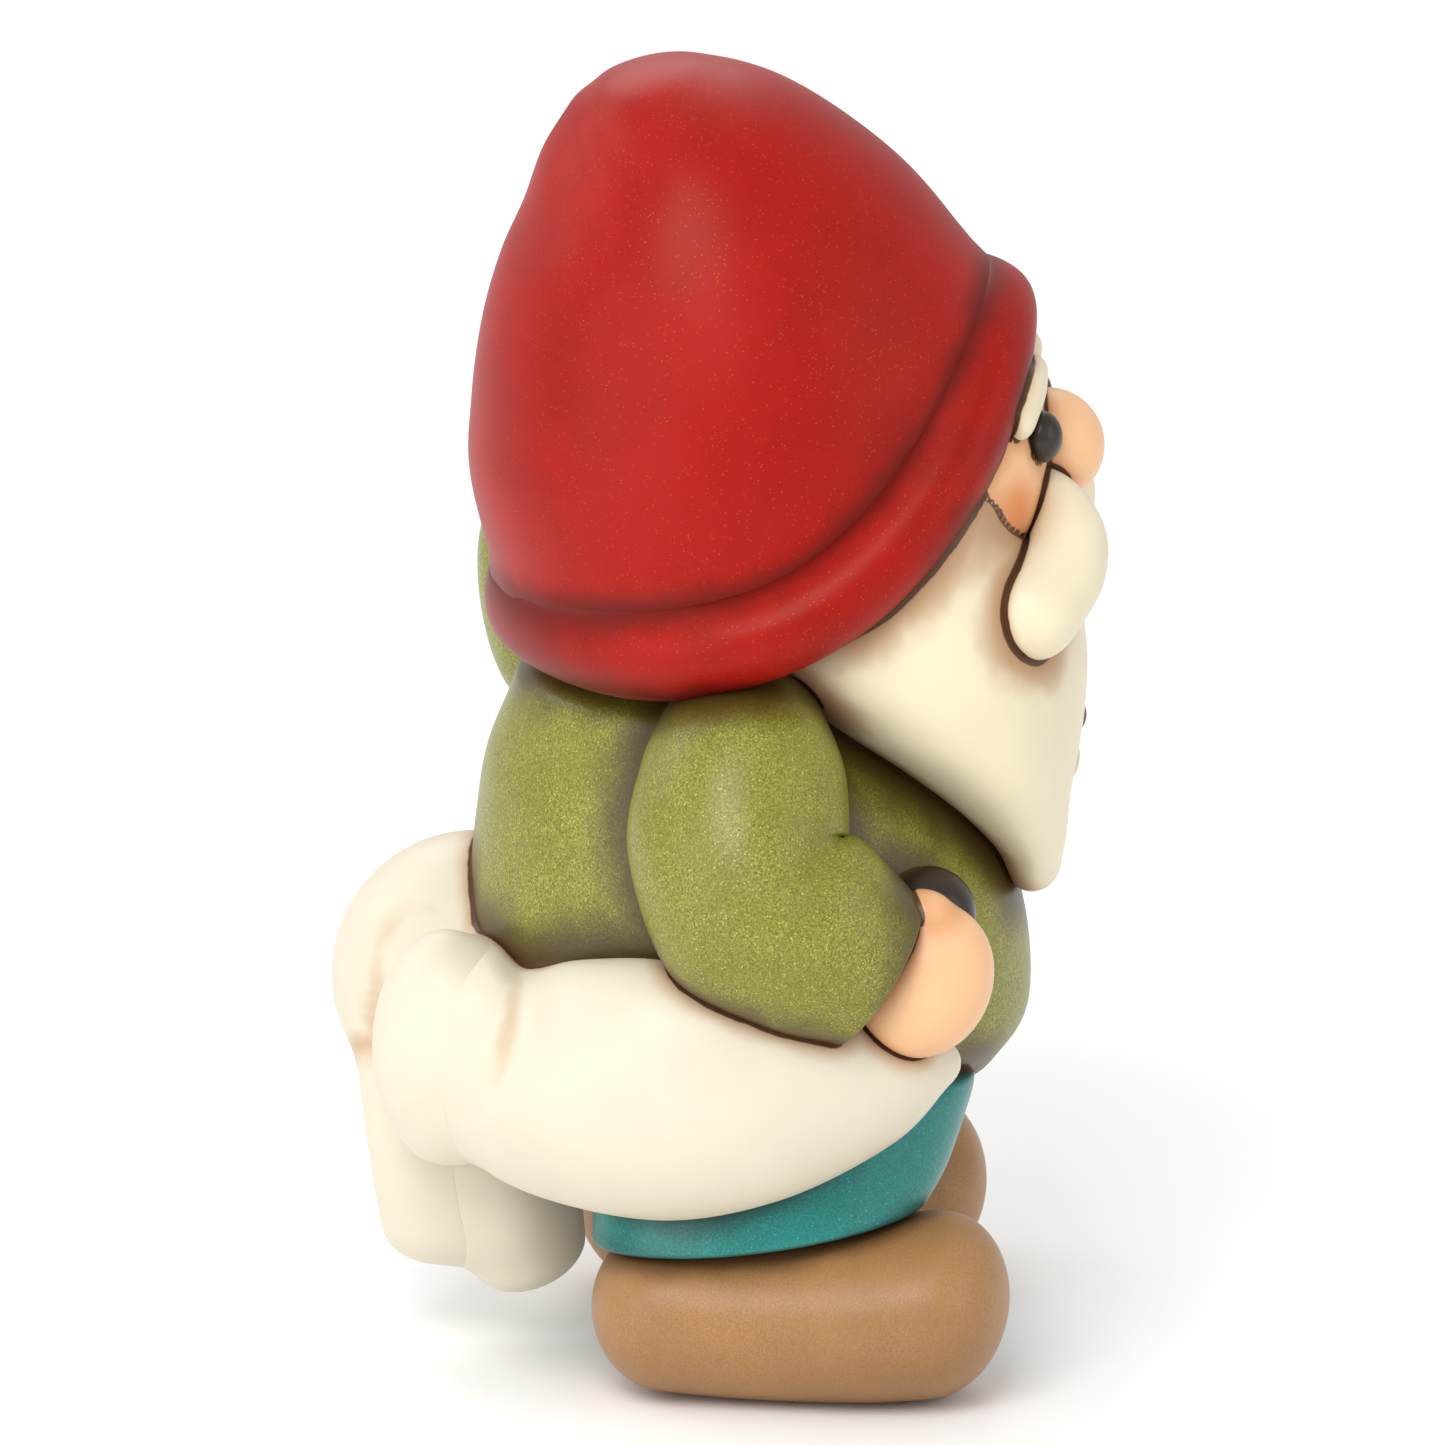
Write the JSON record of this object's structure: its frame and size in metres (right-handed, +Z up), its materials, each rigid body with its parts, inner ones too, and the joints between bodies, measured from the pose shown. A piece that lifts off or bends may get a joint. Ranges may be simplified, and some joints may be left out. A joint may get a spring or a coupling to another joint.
{
  "type": "gnome figurine",
  "caption": "Standing ceramic gnome with a tall rolled-brim cap, a full beard and moustache, and a cloth sack slung round its back; rests on the flat soles of its boots.",
  "frame": {"origin": "middle of the bounding box's footprint, on the ground under the soles", "axes": "+Z up, the gnome faces -Y and its left side is +X"},
  "size_m": [0.1338, 0.1156, 0.1989],
  "materials": {
    "red_glaze": "satin red glaze over cast earthenware, with fine gold flecks",
    "green_glaze": "satin moss-green glaze, finely speckled with lighter yellow-green",
    "teal_glaze": "satin teal glaze, finely speckled",
    "brown_glaze": "satin tan-brown glaze",
    "cream_glaze": "soft satin cream glaze, airbrushed brown in the folds",
    "ivory_glaze": "soft satin ivory glaze, outlined with dark brown",
    "skin_glaze": "soft satin peach glaze",
    "black_glaze": "glossy brown-black glaze"
  },
  "bodies": {
    "root": {"beard": "ivory_glaze", "beard_bead": "black_glaze", "beard_tuft": "ivory_glaze", "boot_left": "brown_glaze", "boot_right": "brown_glaze", "eye_left": "black_glaze", "eye_right": "black_glaze", "eyebrow_left": "ivory_glaze", "eyebrow_right": "ivory_glaze", "hand_left": "skin_glaze", "hand_right": "skin_glaze", "hat_brim": "red_glaze", "hat_crown": "red_glaze", "head": "skin_glaze", "jacket_body": "green_glaze", "moustache_left": "ivory_glaze", "moustache_right": "ivory_glaze", "nose": "skin_glaze", "sack_body": "cream_glaze", "sack_bulge": "cream_glaze", "sack_corner_front": "cream_glaze", "sack_corner_rear": "cream_glaze", "sack_fold": "cream_glaze", "sack_grip": "black_glaze", "sleeve_left": "green_glaze", "sleeve_right": "green_glaze", "thumb_left": "skin_glaze", "thumb_right": "skin_glaze", "trouser_leg_left": "teal_glaze", "trouser_leg_right": "teal_glaze"}
  },
  "joints": []
}
